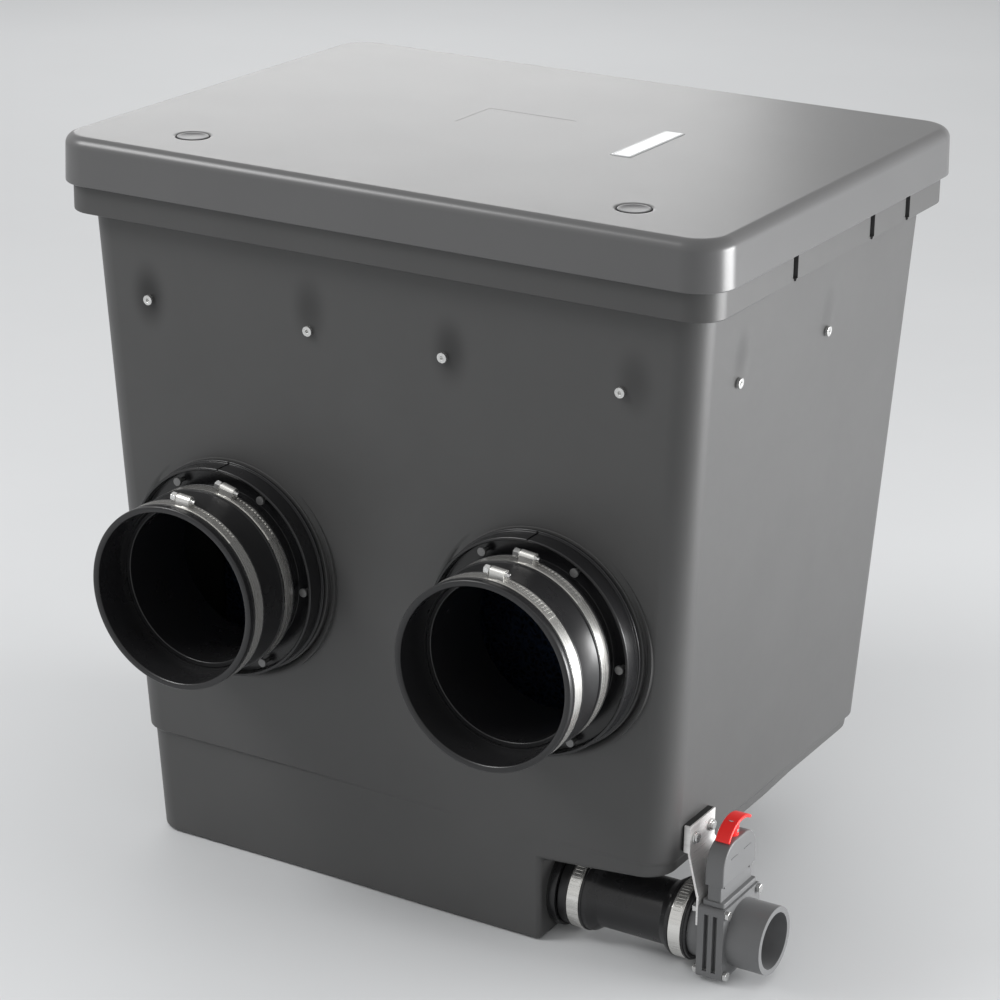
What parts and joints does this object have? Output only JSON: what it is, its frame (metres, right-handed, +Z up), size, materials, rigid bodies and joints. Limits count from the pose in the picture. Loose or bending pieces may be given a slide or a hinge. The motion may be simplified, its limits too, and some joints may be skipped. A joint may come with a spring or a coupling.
{
  "type": "pond filter tank",
  "caption": "Gravity-fed flow-through pond filter tank with lift-off lid, sleeved pipe inlets, rear outlets, foam media and a drain with a slide valve.",
  "frame": {"origin": "middle of the tank's base underside, at floor level", "axes": "+Z up, -Y the front with the two sleeved inlets, +X the end with the drain valve"},
  "size_m": [0.702, 0.5932, 0.6915],
  "materials": {
    "tank_plastic": "satin moulded charcoal plastic",
    "lid_plastic": "satin moulded charcoal plastic",
    "plug_plastic": "satin charcoal plastic",
    "nameplate_metal": "bare satin plate",
    "rail_steel": "brushed stainless sheet",
    "screw_steel": "plain stainless",
    "flange_plastic": "glossy black plastic",
    "gasket_rubber": "matt black rubber",
    "sleeve_rubber": "smooth black rubber",
    "band_steel": "bright rolled stainless band",
    "worm_steel": "bright stainless",
    "valve_pvc": "mid grey moulded PVC",
    "blade_plastic": "pale grey sheet",
    "stem_steel": "ground stainless rod",
    "handle_plastic": "satin red plastic",
    "bracket_steel": "brushed stainless sheet",
    "media_plastic": "dark moulded plastic",
    "foam_coarse": "open-cell coarse foam",
    "foam_medium": "open-cell medium foam",
    "foam_fine": "open-cell fine foam"
  },
  "bodies": {
    "tank": {"tank": "tank_plastic", "rail_front": "rail_steel", "rail_rear": "rail_steel", "rail_left": "rail_steel", "rail_right": "rail_steel", "rail_screws": "screw_steel", "inlet_screws": "screw_steel", "outlet_screws": "screw_steel", "valve_bolts": "screw_steel", "valve_nuts": "screw_steel", "bracket_screws": "screw_steel", "inlet_flange_left": "flange_plastic", "inlet_flange_right": "flange_plastic", "outlet_flange_left": "flange_plastic", "outlet_flange_right": "flange_plastic", "inlet_ring_left": "flange_plastic", "inlet_ring_right": "flange_plastic", "outlet_rings": "flange_plastic", "drain_collar": "flange_plastic", "drain_locknut": "flange_plastic", "inlet_gasket_left": "gasket_rubber", "inlet_gasket_right": "gasket_rubber", "outlet_gaskets": "gasket_rubber", "drain_gasket": "gasket_rubber", "valve_seals": "gasket_rubber", "bracket_pad": "gasket_rubber", "inlet_sleeve_left": "sleeve_rubber", "inlet_sleeve_right": "sleeve_rubber", "drain_sleeve": "sleeve_rubber", "front_clamp_left": "band_steel", "front_clamp_right": "band_steel", "rear_clamp_left": "band_steel", "rear_clamp_right": "band_steel", "drain_clamp_inner": "band_steel", "drain_clamp_outer": "band_steel", "valve_inlet_half": "valve_pvc", "valve_outlet_half": "valve_pvc", "bonnet": "valve_pvc", "bracket": "bracket_steel", "media_floor": "media_plastic", "media_legs": "media_plastic", "hold_down_grid": "media_plastic", "foam_coarse": "foam_coarse", "foam_medium": "foam_medium", "foam_fine": "foam_fine"},
    "lid": {"lid": "lid_plastic", "lid_plug_left": "plug_plastic", "lid_plug_right": "plug_plastic", "nameplate": "nameplate_metal"},
    "gate": {"gate_blade": "blade_plastic", "gate_stem": "stem_steel", "handle": "handle_plastic", "handle_pin": "stem_steel"},
    "front_worm_left": {"front_worm_left": "worm_steel"},
    "front_worm_right": {"front_worm_right": "worm_steel"},
    "rear_worm_left": {"rear_worm_left": "worm_steel"},
    "rear_worm_right": {"rear_worm_right": "worm_steel"},
    "drain_worm_inner": {"drain_worm_inner": "worm_steel"},
    "drain_worm_outer": {"drain_worm_outer": "worm_steel"}
  },
  "joints": [
    {"name": "lid_lift", "type": "slide", "parent": "tank", "child": "lid", "axis": [0, 0, 1], "range_m": [0, 0.25]},
    {"name": "gate_pull", "type": "slide", "parent": "tank", "child": "gate", "axis": [0, 0, 1], "range_m": [0, 0.053]},
    {"name": "front_worm_left_turn", "type": "hinge", "parent": "tank", "child": "front_worm_left", "pos_m": [-0.15295, -0.30157, 0.39645], "axis": [-0.9962, 0, 0.0872], "continuous": true},
    {"name": "front_worm_right_turn", "type": "hinge", "parent": "tank", "child": "front_worm_right", "pos_m": [0.16895, -0.30157, 0.39645], "axis": [-0.9962, 0, 0.0872], "continuous": true},
    {"name": "rear_worm_left_turn", "type": "hinge", "parent": "tank", "child": "rear_worm_left", "pos_m": [-0.13875, -0.25557, 0.39407], "axis": [-0.9703, 0, 0.2419], "continuous": true},
    {"name": "rear_worm_right_turn", "type": "hinge", "parent": "tank", "child": "rear_worm_right", "pos_m": [0.17055, -0.25557, 0.3963], "axis": [-0.9945, 0, 0.1045], "continuous": true},
    {"name": "drain_worm_inner_turn", "type": "hinge", "parent": "tank", "child": "drain_worm_inner", "pos_m": [0.1835, -0.1311, 0.0757], "axis": [0, -0.866, 0.5], "continuous": true},
    {"name": "drain_worm_outer_turn", "type": "hinge", "parent": "tank", "child": "drain_worm_outer", "pos_m": [0.2865, -0.1311, 0.0757], "axis": [0, -0.866, 0.5], "continuous": true}
  ]
}
